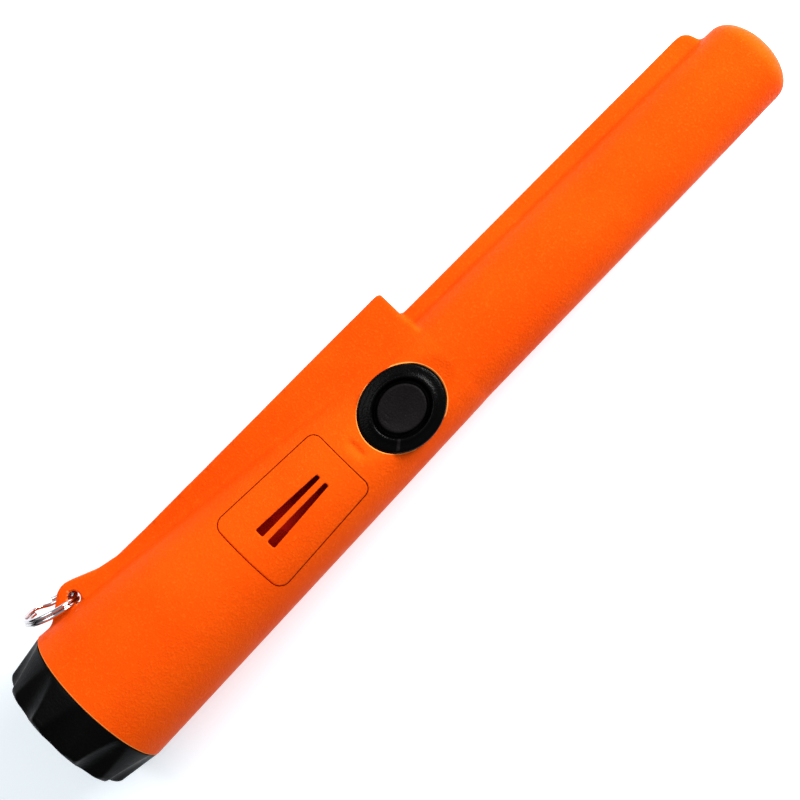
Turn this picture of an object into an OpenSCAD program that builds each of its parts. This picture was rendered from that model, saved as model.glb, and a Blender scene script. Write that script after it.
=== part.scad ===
// Handheld metal-detecting pinpointer probe.
// +X runs from the battery cap to the sensing tip, +Y towards the scraping blade and the lamp,
// +Z the way that the push button faces. The origin is the centre of the cap's flat end face.

/* [Overall] */
// Length from the cap's end face to the tip
total_length = 228.5; // [210:0.5:250]
// How much of the battery cap shows behind the housing
cap_length = 11.6; // [10:0.1:16]
// Outer radius of the housing at its mouth
mouth_r = 19.4; // [19.4:0.1:24]
// Where the handle ends and the probe shaft starts
waist_x = 124.2; // [120:0.1:134]
// Outer radius of the probe shaft at the waist
waist_r = 12.4; // [12:0.1:15]
// Outer radius of the probe shaft where the tip's dome starts
tip_r = 11; // [11:0.1:14]
// How far the handle's axis has dropped towards -Y at the waist
waist_drop = 4.1; // [3.5:0.1:5]
// How far the probe shaft's axis has dropped towards -Y at the tip
tip_drop = 4.9; // [4:0.1:5.5]
// Depth of the domed tip
dome_depth = 6; // [4:0.5:8]
// Wall thickness of the housing
wall = 1.6; // [1.3:0.1:1.6]

/* [Lamp block and blade] */
// Height of the lamp block's back above the cap's axis, at the waist
block_top = 18.5; // [17.5:0.1:21]
// Half width of the lamp block at the waist, near the handle
block_half_w = 8.4; // [7:0.1:9]
// Height of the scraping blade's edge above the cap's axis, at the waist
blade_top = 11.5; // [10:0.1:12]
// How much the blade's edge drops towards the tip
blade_fall = 0.9; // [0:0.1:1.5]
// Thickness of the scraping blade
blade_t = 3; // [2:0.1:4]
// How far short of the tip the blade ends
blade_setback = 9.9; // [8:0.1:20]

/* [Lanyard] */
// Radius of the rounded lanyard lug
lug_r = 4.1; // [3.8:0.1:5]
// Radius of the hole through the lug
lug_hole_r = 1.6; // [1.6:0.1:2]
// Thickness of the lug
lug_t = 6.4; // [5:0.1:7]
// Outer radius of the split ring
ring_r = 7.2; // [7:0.1:9]
// Thickness of the split ring's wire
ring_wire = 1; // [0.8:0.1:1]

/* [Push button] */
// Half length of the button along the handle
button_a = 11.05; // [9:0.05:12]
// Width of the button across the handle as a share of its length
button_aspect = 0.86; // [0.8:0.01:1]
// Width of the button's rubber collar
collar_w = 3.9; // [3:0.1:4.5]
// Depth of the finger scoop that the button sits in
scoop_depth = 1.9; // [1:0.1:2.4]
// How far the button travels
button_travel = 0.6; // [0.3:0.1:0.8]

/* [Speaker cover] */
// Length of the cover along the handle
cover_length = 31.4; // [26:0.1:33]
// Half width of the cover at its wide end
cover_half_w = 10.8; // [9:0.1:11]
// Thickness of the cover
cover_t = 1.3; // [1:0.1:1.4]
// Gap all round the cover
cover_gap = 0.2; // [0.1:0.05:0.3]
// Length of the two sound slots
slot_length = 18.6; // [14:0.1:20]

/* [Battery and cap thread] */
// Battery body: length, width and thickness
battery_size = [46.4, 26.5, 17.5];
// Radius of the mouth's bore
bore_r = 17.2; // [17.2:0.1:17.4]
// Length of the cap's threaded spigot inside the housing
spigot_length = 10; // [9:0.1:11]
// Travel of the cap for one turn
pitch = 3.6; // [3:0.1:4]
// Number of grip flutes round the cap
flutes = 10; // [6:1:16]

/* [Electronics] */
// Length of the circuit board
board_length = 90; // [84:0.5:95]
// Width of the circuit board
board_w = 17.6; // [16:0.1:18]
// Thickness of the circuit board
board_t = 1.6; // [1:0.1:2]
// Length of the ferrite rod
ferrite_length = 63; // [50:0.5:63]
// Radius of the ferrite rod
ferrite_r = 4; // [3:0.1:4.2]

/* [Hidden] */
$fn = 96;
eps = 0.01;
slide_gap = 0.2;   // between pieces that slide
seat_gap = 0.1;    // between pieces that are pressed or glued together
plastic = "darkslategray";
orange = "orangered";

// The handle is a cone whose axis leans from the cap's axis towards -Y.
handle_length = waist_x - cap_length;
handle_tilt = atan2(waist_drop, handle_length);
handle_slope = atan2(mouth_r - waist_r, handle_length);
function along_handle(x) = (x - cap_length) / handle_length;
function handle_r(x) = mouth_r + (waist_r - mouth_r) * along_handle(x);
function handle_y(x) = -waist_drop * along_handle(x);

// The probe shaft is a more slender cone that leans only a little.
dome_x = total_length - dome_depth;
function along_shaft(x) = (x - waist_x) / (dome_x - waist_x);
function shaft_r(x) = waist_r + (tip_r - waist_r) * along_shaft(x);
function shaft_y(x) = -waist_drop - (tip_drop - waist_drop) * along_shaft(x);

// Lamp block: its back is a straight line from the lug to the waist.
block_back_x = 44;
block_back_top = 19.4;
block_plan_x = 24;
block_back_half_w = 3.2;
block_base_y = -2;
block_round = 1.6;
function block_y(x) =
    block_back_top + (block_top - block_back_top) * (x - block_back_x) / (waist_x - block_back_x);

// Lanyard lug and split ring.
lug_x = 24.3;
lug_y = mouth_r + 0.5;
ring_angle = 160;               // direction from the hole to the ring's centre
ring_mean_r = ring_r - ring_wire / 2;
ring_lean = 11;                 // how far the ring's plane leans from the hole's axis

// Push button: a frame of its own, square to the handle's upper surface.
button_x = 109;
button_y = handle_y(button_x) - 0.3;
scoop_r = 63;
collar_proud = 1.6;
collar_foot = 4.6;
pad_proud = 0.9;
pad_foot = 0.1;
moat = 1;
web_t = 0.5;
plunger_r = 2.2;
plunger_end = 4.4;
stem_r = 1.6;

// Speaker cover and the sound path behind it.
cover_x = 60.1;
cover_round = 2.6;
cover_taper = 1.3;
speaker_x = cover_x + cover_length / 2;
speaker_y = handle_y(speaker_x);
speaker_r = 9;
speaker_h = 4;
speaker_top = 8.4;
cover_floor = 1;
membrane_t = 0.3;
gasket_t = 0.7;
port_r = 6;
slot_x = cover_x + 6.2;
chamber_w = 9.8;
slot_bridge = 1.5;
slot_wide = 2.2;
slot_narrow = 1.1;

// Battery compartment.
cap_floor = 2.6;
cushion_t = 1.6;
battery_lean = battery_size[1] / 2 * sin(handle_tilt);
battery_x = cap_floor + seat_gap + cushion_t + battery_lean + slide_gap;
battery_round = 2.5;
battery_end = battery_x + battery_size[0];
terminal_h = 2.2;
terminal_pitch = 12.7;
spigot_r = bore_r - slide_gap;
spigot_in_r = bore_r - 1.7;
thread_core_r = bore_r - 0.8;
thread_depth = 0.6;
thread_x = cap_length + 3.4;
ridge_base_w = 1.1;
ridge_crest_w = 0.6;
ring_groove_x = cap_length + 0.7;
ring_groove_w = 1.4;
o_ring_r = 0.5;
cradle_x = cap_length + spigot_length + 1;
leaf_h = 1.7;
leaf_t = 0.3;
plate_x = battery_end + terminal_h + leaf_h;
plate_t = 1.6;

// Electronics bay.
bulkhead_x = plate_x + plate_t;
bulkhead_t = 1.6;
board_x = bulkhead_x + bulkhead_t + 1.2;
board_end = board_x + board_length;
board_y = -waist_drop;
board_z = 0.6;
board_top = board_z + board_t;
rail_w = 2;
rail_h = 3;
rail_end = board_end + 2;
nose_t = 2;
nose_plug = 3;
screw_inset = 1;
screw_x = [board_x + 6, board_end - 8];
motor_x = board_x + 6;
motor_r = 3;
motor_length = 12;
motor_y = board_y;
motor_z = -6.4;
motor_shaft_r = 0.5;
weight_r = 2.6;

// Coil assembly in the tip.
nose_x = rail_end;
coil_y = (shaft_y(nose_x) + shaft_y(dome_x)) / 2;
former_x = nose_x + nose_t + 0.3;
former_end = dome_x - 0.5;
former_t = 0.9;
rod_x = former_end - 1 - ferrite_length;
flange_t = 1.2;
flange_r = tip_r - wall - 1.2;
shield_in_r = flange_r + 0.15;
shield_t = 0.3;
receive_length = 15;

// Lamp in the block's front face.
lamp_y = 14;
lens_r = 2.2;
lens_flange_r = 2.9;
lens_flange_t = 1.2;
lens_seal_t = 0.6;
led_r = 1.5;
led_length = 5;
lamp_board_t = 1;
front_wall = 2;
ledge = 0.1;        // how far the handle stands proud of the cap, the cover and the shaft

// Points on an arc, and a closed ellipse.
function arc(cx, cy, r, a1, a2, n = 8) =
    [for (i = [0:n]) let (a = a1 + (a2 - a1) * i / n) [cx + r * cos(a), cy + r * sin(a)]];
function oval(a, n = 72) = [for (i = [0:n - 1]) a * [cos(360 * i / n), button_aspect * sin(360 * i / n)]];

// Stands its children on a point, with their Z along +X.
module along_x(x, y = 0, z = 0) {
    translate([x, y, z]) rotate([0, 90, 0]) children();
}

// A disc with its axis along +X.
module disc_x(x, y, z, r, h) {
    along_x(x, y, z) cylinder(h = h, r = r);
}

// A straight tube with its axis along +X.
module tube_x(x, y, z, r_out, r_in, h) {
    difference() {
        disc_x(x, y, z, r_out, h);
        disc_x(x - 1, y, z, r_in, h + 2);
    }
}

// Joins rings that have the same number of points into one closed solid.
module skin(rings) {
    n = len(rings[0]);
    last = len(rings) - 1;
    points = [for (ring = rings) for (p = ring) p];
    sides = [for (i = [0:last - 1]) for (j = [0:n - 1]) let (k = (j + 1) % n)
        each [[i * n + j, i * n + k, (i + 1) * n + j], [i * n + k, (i + 1) * n + k, (i + 1) * n + j]]];
    near_end = [for (j = [0:n - 1]) n - 1 - j];
    far_end = [for (j = [0:n - 1]) last * n + j];
    polyhedron(points, concat(sides, [near_end, far_end]), convexity = 6);
}

// A round wire that follows its points; up is any direction that the wire never runs along.
module wire(path, r, up = [0, 0, 1], n = 8) {
    last = len(path) - 1;
    function way(i) = let (d = path[min(i + 1, last)] - path[max(i - 1, 0)]) d / norm(d);
    skin([for (i = [0:last]) let (t = way(i), s0 = cross(t, up), s = s0 / norm(s0), u = cross(s, t))
        [for (j = [0:n - 1]) path[i] + r * (cos(360 * j / n) * s + sin(360 * j / n) * u)]]);
}

// A helical thread ridge on the X axis, from angle a1 to a2, right-handed.
module thread_ridge(x, base_r, crest_r, a1, a2) {
    step = 10;
    base = ridge_base_w / 2;
    crest = ridge_crest_w / 2;
    section = [[-base, base_r], [-crest, crest_r], [crest, crest_r], [base, base_r]];
    skin([for (a = [a1:step:a2]) let (x_a = x + pitch * a / 360)
        [for (p = section) [x_a + p[0], p[1] * cos(a), p[1] * sin(a)]]]);
}

// A cone whose axis leans in the XY plane from one point to the other.
module leaning_cone(x1, y1, r1, x2, y2, r2) {
    tilt = atan2(y2 - y1, x2 - x1);
    translate([x1, y1, 0]) rotate([0, 0, tilt]) along_x(0)
        cylinder(h = (x2 - x1) / cos(tilt), r1 = r1, r2 = r2);
}

// The handle's cone between two stations, made smaller by inset.
module handle_cone(x1, x2, inset = 0) {
    leaning_cone(x1, handle_y(x1), handle_r(x1) - inset, x2, handle_y(x2), handle_r(x2) - inset);
}

// The probe shaft's cone between two stations, made smaller by inset.
module shaft_cone(x1, x2, inset = 0) {
    leaning_cone(x1, shaft_y(x1), shaft_r(x1) - inset, x2, shaft_y(x2), shaft_r(x2) - inset);
}

// The probe shaft with its domed end, turned in one piece from a line and a quarter of an ellipse.
module domed_shaft(x1) {
    tilt = atan2(waist_drop - tip_drop, dome_x - waist_x);
    length = (dome_x - x1) / cos(tilt);
    dome = [for (a = [0:7.5:90]) [tip_r * cos(a), length + dome_depth * sin(a)]];
    translate([x1, shaft_y(x1), 0]) rotate([0, 0, tilt]) along_x(0) rotate_extrude()
        polygon(concat([[0, 0], [shaft_r(x1), 0]], dome));
}

// The lamp block between two stations: side outline, plan taper and drafted section together.
module lamp_block(x1, x2, inset = 0) {
    w_back = block_back_half_w - inset;
    w_front = block_half_w + 0.4 - inset;
    top_w = block_half_w - 1.2 - inset;
    base_w = block_half_w + 0.2 - inset;
    top_y = block_top - inset;
    round_y = block_back_top - inset - block_round;
    intersection() {
        translate([0, 0, -20]) linear_extrude(40)
            polygon([[x1, block_base_y], [x2, block_base_y], [x2, block_y(x2) - inset],
                [x1, block_y(x1) - inset]]);
        rotate([90, 0, 0]) linear_extrude(80, center = true)
            polygon([[block_plan_x, -w_back], [waist_x, -w_front], [waist_x, w_front],
                [block_plan_x, w_back]]);
        along_section(x1 - 1, x2 + 1)
            polygon(concat([[block_base_y, -base_w]],
                arc(round_y, -top_w + block_round, block_round, -90, 0),
                arc(round_y, top_w - block_round, block_round, 0, 90), [[block_base_y, base_w]]));
    }
}

// Extrudes a section, drawn as [Y, Z] points, along X.
module along_section(x1, x2) {
    translate([x1, 0, 0]) rotate([90, 0, 90]) linear_extrude(x2 - x1) children();
}

// The lanyard lug: a round eye on a web that runs out along the handle's back.
module lug() {
    translate([lug_x, lug_y, -lug_t / 2]) cylinder(h = lug_t, r = lug_r);
    translate([0, 0, -lug_t / 2]) linear_extrude(lug_t)
        polygon([[cap_length, 10], [cap_length, mouth_r - 0.6], [lug_x - 8, mouth_r - 0.1],
            [lug_x - 2.4, lug_y + 3.3], [lug_x + 1.8, lug_y + 3.7], [lug_x + 8.4, mouth_r + 1.4],
            [lug_x + 14, mouth_r + 0.2], [block_back_x + 2, block_back_top], [block_back_x + 2, 8]]);
}

// The scraping blade along the probe shaft, thinner towards its edge.
module blade() {
    x2 = total_length - blade_setback;
    low = shaft_y(x2) + shaft_r(x2) - 2;
    end_r = 3.4;
    root = blade_t / 2 + 1.1;
    edge = blade_t / 2 - 0.4;
    intersection() {
        translate([0, 0, -5]) linear_extrude(10)
            polygon(concat([[waist_x - 4, low], [x2, low]],
                arc(x2 - end_r, blade_top - blade_fall - end_r, end_r, 0, 90), [[waist_x - 4, blade_top]]));
        along_section(waist_x - 5, total_length)
            polygon([[low - 1, -root], [blade_top + 0.5, -edge], [blade_top + 0.5, edge], [low - 1, root]]);
    }
}

// Places its children in the button's own frame: origin at the scoop's floor, Z out of the handle.
module at_button() {
    translate([button_x, button_y, handle_r(button_x)]) rotate([0, handle_slope, 0])
        translate([0, 0, -scoop_depth]) children();
}

// An upright elliptical column in the button's frame.
module oval_column(a, z1, z2) {
    translate([0, 0, z1]) linear_extrude(z2 - z1) polygon(oval(a));
}

// The speaker cover's outline seen from above, made smaller by inset.
module cover_outline(inset) {
    r = cover_round - inset;
    x1 = cover_x + inset + r;
    x2 = cover_x + cover_length - inset - r;
    h1 = cover_half_w - inset - r;
    h2 = h1 - cover_taper;
    polygon(concat(arc(x2, h2, r, 0, 90), arc(x1, h1, r, 90, 180), arc(x1, -h1, r, 180, 270),
        arc(x2, -h2, r, 270, 360)));
}

module housing() {
    color(orange) difference() {
        union() {
            difference() {
                union() {
                    handle_cone(cap_length - 4, waist_x, -ledge);
                    domed_shaft(waist_x - 6);
                    lamp_block(block_back_x, waist_x);
                    lug();
                    blade();
                }
                cavity();
                disc_x(cap_length - 10, 0, 0, 2 * mouth_r, 10);
            }
            cover_seat();
            thread_ridge(thread_x + pitch / 2, bore_r + 0.2, bore_r - thread_depth, 0, 460);
        }
        at_button() translate([0, 0, scoop_r]) rotate([90, 0, 0])
            cylinder(h = 60, r = scoop_r, center = true, $fn = 200);
        at_button() oval_column(button_a, -collar_foot - 4, 8);
        cover_pocket();
        lug_hole();
        disc_x(waist_x - front_wall - 1, lamp_y, 0, lens_r + seat_gap, front_wall + 2);
    }
}

// The lug's hole, flared at both faces so that the ring can lean.
module lug_hole() {
    flare = 1.1;
    translate([lug_x, lug_y, -lug_t]) cylinder(h = 2 * lug_t, r = lug_hole_r);
    for (side = [-1, 1]) translate([lug_x, lug_y, side * lug_t / 2]) rotate([90 - 90 * side, 0, 0])
        translate([0, 0, 0.1]) mirror([0, 0, 1]) cylinder(h = flare, r1 = lug_hole_r + flare + 0.01,
            r2 = lug_hole_r + 0.01);
}

// Everything hollow inside the housing.
module cavity() {
    disc_x(cap_length - 1, 0, 0, bore_r, spigot_length + 1.4);
    handle_cone(cap_length + spigot_length - 1, waist_x + 2, wall);
    shaft_cone(waist_x - 2, dome_x, wall);
    disc_x(dome_x - 1, -tip_drop, 0, tip_r - wall - 0.8, dome_depth - 2.5);
    lamp_block(bulkhead_x, waist_x - front_wall, wall);
}

// A thicker wall under the speaker cover, with a flat boss inside that the membrane is glued to.
boss_z = speaker_top + gasket_t + membrane_t;
boss_r = speaker_r + 1.9;
module cover_seat() {
    intersection() {
        handle_cone(cover_x - 4, cover_x + cover_length + 4, wall / 2);
        union() {
            translate([speaker_x, speaker_y, boss_z]) cylinder(h = 8, r = boss_r);
            difference() {
                linear_extrude(30) translate([0, speaker_y]) cover_outline(-1);
                handle_cone(cover_x - 5, cover_x + cover_length + 5, cover_t + seat_gap + cover_floor);
            }
        }
    }
}

// The recess for the speaker cover, the chamber behind its slots, and the port down to the membrane.
module cover_pocket() {
    difference() {
        linear_extrude(30) translate([0, speaker_y]) cover_outline(0);
        handle_cone(cover_x - 4, cover_x + cover_length + 4, cover_t + seat_gap);
    }
    intersection() {
        translate([slot_x - 1, speaker_y - chamber_w / 2, boss_z + 1.2])
            cube([slot_length + 2, chamber_w, 7]);
        translate([speaker_x, speaker_y, boss_z]) cylinder(h = 12, r = boss_r - 0.6);
    }
    translate([speaker_x, speaker_y, boss_z - 1]) cylinder(h = 8, r = port_r);
}

module speaker_cover() {
    color(orange) difference() {
        intersection() {
            linear_extrude(30) translate([0, speaker_y]) cover_outline(cover_gap);
            handle_cone(cover_x - 4, cover_x + cover_length + 4);
        }
        handle_cone(cover_x - 5, cover_x + cover_length + 5, cover_t);
        for (side = [-1, 1]) sound_slot(side);
    }
}

// One tapered sound slot: its inner edge is straight and its outer edge closes in towards the tip.
module sound_slot(side) {
    inner = side * slot_bridge / 2;
    translate([0, speaker_y, 5]) linear_extrude(20)
        polygon([[slot_x, inner], [slot_x + slot_length, inner],
            [slot_x + slot_length, inner + side * slot_narrow], [slot_x, inner + side * slot_wide]]);
}

module speaker_membrane() {
    color("white") translate([speaker_x, speaker_y, speaker_top + gasket_t])
        cylinder(h = membrane_t, r = speaker_r - 0.4);
}

module speaker_gasket() {
    color("black") translate([speaker_x, speaker_y, speaker_top]) difference() {
        cylinder(h = gasket_t, r = speaker_r - 0.2);
        translate([0, 0, -1]) cylinder(h = gasket_t + 2, r = port_r + 0.5);
    }
}

module speaker() {
    magnet_r = speaker_r * 0.6;
    color("dimgray") translate([speaker_x, speaker_y, speaker_top - speaker_h]) {
        translate([0, 0, 1.4]) difference() {
            cylinder(h = speaker_h - 1.4, r = speaker_r);
            translate([0, 0, speaker_h - 2.2]) cylinder(h = 2, r1 = speaker_r * 0.5, r2 = speaker_r - 0.4);
        }
        cylinder(h = 1.6, r = magnet_r);
    }
}

// Rubber collar: rounded rim, inner web that closes the moat, and a skirt bonded into the housing's hole.
module button_collar() {
    a = button_a - seat_gap;
    inner = button_a - collar_w;
    web_top = -pad_foot - button_travel - slide_gap;
    color("#151515") at_button() difference() {
        union() {
            oval_column(a, -collar_foot, collar_proud - 0.9);
            oval_column(a - 0.4, -collar_foot, collar_proud - 0.3);
            oval_column(a - 1.1, -collar_foot, collar_proud);
        }
        oval_column(inner, web_top, collar_proud + 1);
        oval_column(inner + 0.7, collar_proud - 0.5, collar_proud + 1);
        translate([0, 0, web_top - 1]) cylinder(h = 2, r = plunger_r + 0.8);
        oval_column(inner, -collar_foot - 1, web_top - web_t);
    }
}

// The part of the button that a thumb presses, with its plunger.
module button_pad() {
    a = button_a - collar_w - moat;
    dish_r = 40;
    color("#202020") at_button() {
        difference() {
            union() {
                oval_column(a, -pad_foot, pad_proud - 0.3);
                oval_column(a - 0.4, -pad_foot, pad_proud);
            }
            translate([0, 0, dish_r + pad_proud - 0.4]) sphere(r = dish_r);
        }
        translate([0, 0, -plunger_end]) cylinder(h = plunger_end, r = plunger_r);
    }
}

switch_h = 3.5;
stem_x = button_x - (handle_r(button_x) - board_top - switch_h) * tan(handle_slope);
module switch_stem() {
    stem_length = 2;
    color("saddlebrown") at_button() translate([0, 0, -plunger_end - stem_length])
        cylinder(h = stem_length, r = stem_r);
}

module tact_switch() {
    color("silver") difference() {
        translate([stem_x - 3, button_y - 3, board_top]) cube([6, 6, switch_h]);
        translate([stem_x, button_y, board_top + 1]) cylinder(h = switch_h, r = stem_r + 0.4);
    }
}

// Screw cap: fluted grip outside, threaded spigot with an O-ring groove inside the housing.
module battery_cap() {
    end_r = mouth_r - 1.5;
    edge = 2;
    flute_r = 7;
    flute_depth = 1.9;
    flute_angle = 17.5;
    rim = cap_length - seat_gap;
    color(plastic) difference() {
        union() {
            along_x(0) rotate_extrude()
                polygon(concat([[0, 0]], arc(end_r - edge, edge, edge, -90, -6),
                    [[mouth_r, rim], [0, rim]]));
            disc_x(rim - eps, 0, 0, spigot_r, 3 - slide_gap);
            disc_x(rim - eps, 0, 0, thread_core_r, spigot_length);
            thread_ridge(thread_x, thread_core_r - 0.2, thread_core_r + thread_depth, 0, 600);
        }
        disc_x(cap_floor, 0, 0, spigot_in_r, 40);
        tube_x(ring_groove_x, 0, 0, spigot_r + 2, spigot_r - 0.95, ring_groove_w);
        for (i = [0:flutes - 1]) rotate([360 * i / flutes, 0, 0])
            translate([0, 0, end_r + flute_r - flute_depth]) rotate([0, 90 - flute_angle, 0])
                translate([0, 0, -6]) cylinder(h = 30, r = flute_r);
        tube_x(-1, 0, 0, end_r * 0.72, end_r * 0.5, 1.5);
    }
}

module cap_o_ring() {
    color("firebrick") along_x(ring_groove_x + ring_groove_w / 2)
        rotate_extrude() translate([spigot_r - 0.38, 0]) circle(r = o_ring_r, $fn = 32);
}

module cap_cushion() {
    color("gray") disc_x(cap_floor + seat_gap, 0, 0, spigot_in_r - 3, cushion_t);
}

// Places its children on the handle's tilted axis at the battery's closed end, with X along that axis.
module at_battery() {
    translate([battery_x, handle_y(battery_x), 0]) rotate([0, 0, -handle_tilt]) children();
}

// A box along X with rounded long edges, centred on the X axis.
module rounded_bar(length, w, h, r) {
    translate([0, -w / 2, -h / 2 + r]) cube([length, w, h - 2 * r]);
    translate([0, -w / 2 + r, -h / 2]) cube([length, w - 2 * r, h]);
    for (y = [-1, 1], z = [-1, 1])
        disc_x(0, y * (w / 2 - r), z * (h / 2 - r), r, length);
}

module battery() {
    color("gold") at_battery() rounded_bar(battery_size[0], battery_size[1], battery_size[2], battery_round);
}

module battery_terminals() {
    color("silver") at_battery() {
        disc_x(battery_size[0], terminal_pitch / 2, 0, 2.85, terminal_h);
        difference() {
            disc_x(battery_size[0], -terminal_pitch / 2, 0, 4, terminal_h);
            disc_x(battery_size[0] + 0.6, -terminal_pitch / 2, 0, 3, terminal_h);
        }
    }
}

// Liner that centres the battery: a ring near the mouth with four fingers, open at the battery's corners.
module battery_cradle() {
    gap = slide_gap;
    color(plastic) difference() {
        handle_cone(cradle_x, battery_end, wall + 0.15);
        at_battery() translate([-1, 0, 0]) rounded_bar(battery_size[0] + 9, battery_size[1] + 2 * gap,
            battery_size[2] + 2 * gap, battery_round + gap);
        at_battery() for (y = [-1, 1], z = [-1, 1])
            disc_x(30, y * (battery_size[1] / 2 - 1.6), z * (battery_size[2] / 2 - 1.6), 3.4, 40);
    }
}

module contact_plate() {
    color("green") difference() {
        handle_cone(plate_x, plate_x + plate_t, wall + 0.4);
        lead_holes();
    }
}

// Two holes for the battery leads, through the contact plate and the chassis bulkhead.
module lead_holes() {
    for (side = [-1, 1]) disc_x(plate_x - 1, handle_y(plate_x) + side * 2.5, 9, 0.9, 7);
}

// Two sprung leaves, each bent out of the plate to press on a battery terminal.
module contact_leaves() {
    reach = leaf_h - 0.05;
    color("gold") for (side = [-1, 1])
        translate([plate_x, handle_y(plate_x), 0]) rotate([0, 0, -handle_tilt])
            translate([0, side * terminal_pitch / 2, -2]) linear_extrude(4)
                polygon([[0, -3], [0, 3], [-leaf_t, 3], [-leaf_t, -1.5], [leaf_t - reach, 1.5],
                    [leaf_t - reach, 2.4], [-reach, 2.4], [-reach, 1.3], [-leaf_t, -2.4], [-leaf_t, -3]]);
}

// Two turns of wire side by side, threaded through the lug's hole.
module split_ring() {
    reach = ring_mean_r - 0.25;
    centre = [lug_x, lug_y, 0] + reach * [cos(ring_angle), sin(ring_angle), 0];
    color("silver") translate(centre) rotate([0, 0, ring_angle]) rotate([90 - ring_lean, 0, 0])
        for (side = [-1, 1]) translate([0, 0, side * ring_wire * 0.49])
            rotate_extrude() translate([ring_mean_r, 0]) circle(r = ring_wire / 2, $fn = 24);
}

module lamp_lens() {
    flange_x = waist_x - front_wall - lens_seal_t - lens_flange_t;
    color("lightcyan") {
        disc_x(flange_x, lamp_y, 0, lens_flange_r - 0.2, lens_flange_t);
        disc_x(flange_x, lamp_y, 0, lens_r, waist_x - 0.2 - flange_x);
    }
}

module lens_seal() {
    color("black") tube_x(waist_x - front_wall - lens_seal_t, lamp_y, 0, lens_flange_r - 0.2,
        lens_r + seat_gap / 2, lens_seal_t);
}

led_x = waist_x - front_wall - lens_seal_t - lens_flange_t - 0.4 - led_length;
module lamp_led() {
    color("white") {
        disc_x(led_x, lamp_y, 0, led_r + 0.3, 1);
        disc_x(led_x, lamp_y, 0, led_r, led_length - led_r);
        translate([led_x + led_length - led_r, lamp_y, 0]) sphere(r = led_r, $fn = 48);
    }
}

// The small board that the lamp is soldered to.
module lamp_board() {
    color("green") translate([led_x - lamp_board_t, lamp_y - 5, -4.8]) cube([lamp_board_t, 7, 9.6]);
}

// Carrier: a bulkhead behind the battery, two rails under the board, and a nose that holds the coil former.
module chassis() {
    rail_z = board_z - rail_h;
    length = rail_end - bulkhead_x - 1;
    plug_x = nose_x + nose_t;
    color(plastic) difference() {
        union() {
            handle_cone(bulkhead_x, bulkhead_x + bulkhead_t, wall + 0.3);
            for (side = [-1, 1]) translate([bulkhead_x + 1, board_y + side * (board_w - rail_w) / 2, rail_z])
                translate([0, -rail_w / 2, 0]) cube([length, rail_w, rail_h]);
            for (span = [[bulkhead_x + 1, motor_length + 24], [screw_x[1] - 3, 6]])
                translate([span[0], board_y - board_w / 2, rail_z]) cube([span[1], board_w, 1.2]);
            disc_x(nose_x, coil_y, 0, shaft_r(plug_x) - wall - 0.5, nose_t);
            disc_x(nose_x, coil_y, 0, ferrite_r, nose_t + nose_plug);
        }
        at_screws(board_z - 2.6) cylinder(h = 4, r = 0.75, $fn = 32);
        lead_holes();
        translate([board_x - 1.2, motor_y - 2.5, rail_z - 1]) cube([3.4, 5, 3]);
        disc_x(nose_x - 1, coil_y, 5.6, 0.9, nose_t + 2);
        disc_x(nose_x - 1, coil_y, 0, ferrite_r - 1, nose_t + nose_plug + 2);
    }
}

// Places its children at the four screws, at the height z.
module at_screws(z) {
    for (x = screw_x, side = [-1, 1])
        translate([x, board_y + side * (board_w / 2 - screw_inset), z]) children();
}

module board_screws() {
    color("silver") at_screws(board_top) {
        translate([0, 0, -board_t - 2.4]) cylinder(h = board_t + 2.5, r = 0.7, $fn = 32);
        difference() {
            cylinder(h = 0.9, r = 1.4, $fn = 32);
            translate([-0.2, -1, 0.5]) cube([0.4, 2, 1]);
        }
    }
}

module circuit_board() {
    color("green") difference() {
        translate([board_x, board_y - board_w / 2, board_z]) cube([board_length, board_w, board_t]);
        at_screws(board_z - 1) cylinder(h = board_t + 2, r = 0.8, $fn = 32);
    }
}

// A flat chip package on the board.
module chip(x, y, size) {
    translate([x - size[0] / 2, board_y + y - size[1] / 2, board_top]) cube(size);
}

module processor() {
    color("#1c1c1c") chip(board_x + 34, 0, [9, 9, 1.4]);
}

module amplifier() {
    color("#1c1c1c") chip(board_end - 27, 0, [5, 6.2, 1.5]);
}

module capacitors() {
    color("navy") {
        for (y = [-5, 5]) translate([board_end - 20, board_y + y, board_top]) cylinder(h = 4.5, r = 2);
        for (i = [0:3]) chip(board_end - 14 + 2.6 * i, -4, [1.2, 2, 0.9]);
    }
}

module vibration_motor() {
    color("silver") difference() {
        disc_x(motor_x, motor_y, motor_z, motor_r, motor_length);
        disc_x(motor_x + motor_length - 2, motor_y, motor_z, motor_shaft_r + 0.05, 3);
    }
}

// The off-centre weight on the motor's shaft.
module motor_weight() {
    x = motor_x + motor_length;
    color("slategray") {
        disc_x(x - 1.8, motor_y, motor_z, motor_shaft_r, 6.5);
        difference() {
            disc_x(x + 0.7, motor_y, motor_z, weight_r, 4);
            translate([x, motor_y - 4, motor_z]) cube([6, 8, 4]);
        }
    }
}

module motor_cradle() {
    top = board_z - rail_h;
    foot = motor_z - motor_r - 0.6;
    color("#303030") difference() {
        translate([motor_x + 1.5, motor_y - motor_r - 1.2, foot])
            cube([motor_length - 3, 2 * motor_r + 2.4, top - foot]);
        disc_x(motor_x, motor_y, motor_z, motor_r + 0.05, motor_length);
    }
}

module ferrite_rod() {
    color("#3a3a3a") disc_x(rod_x, coil_y, 0, ferrite_r, ferrite_length);
}

// Where the coil former's flanges stand.
former_length = former_end - former_x;
flange_x = [former_x, former_x + flange_t + receive_length, former_end - 2 * flange_t - receive_length,
    former_end - flange_t];
barrel_r = ferrite_r + seat_gap + former_t;

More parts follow.
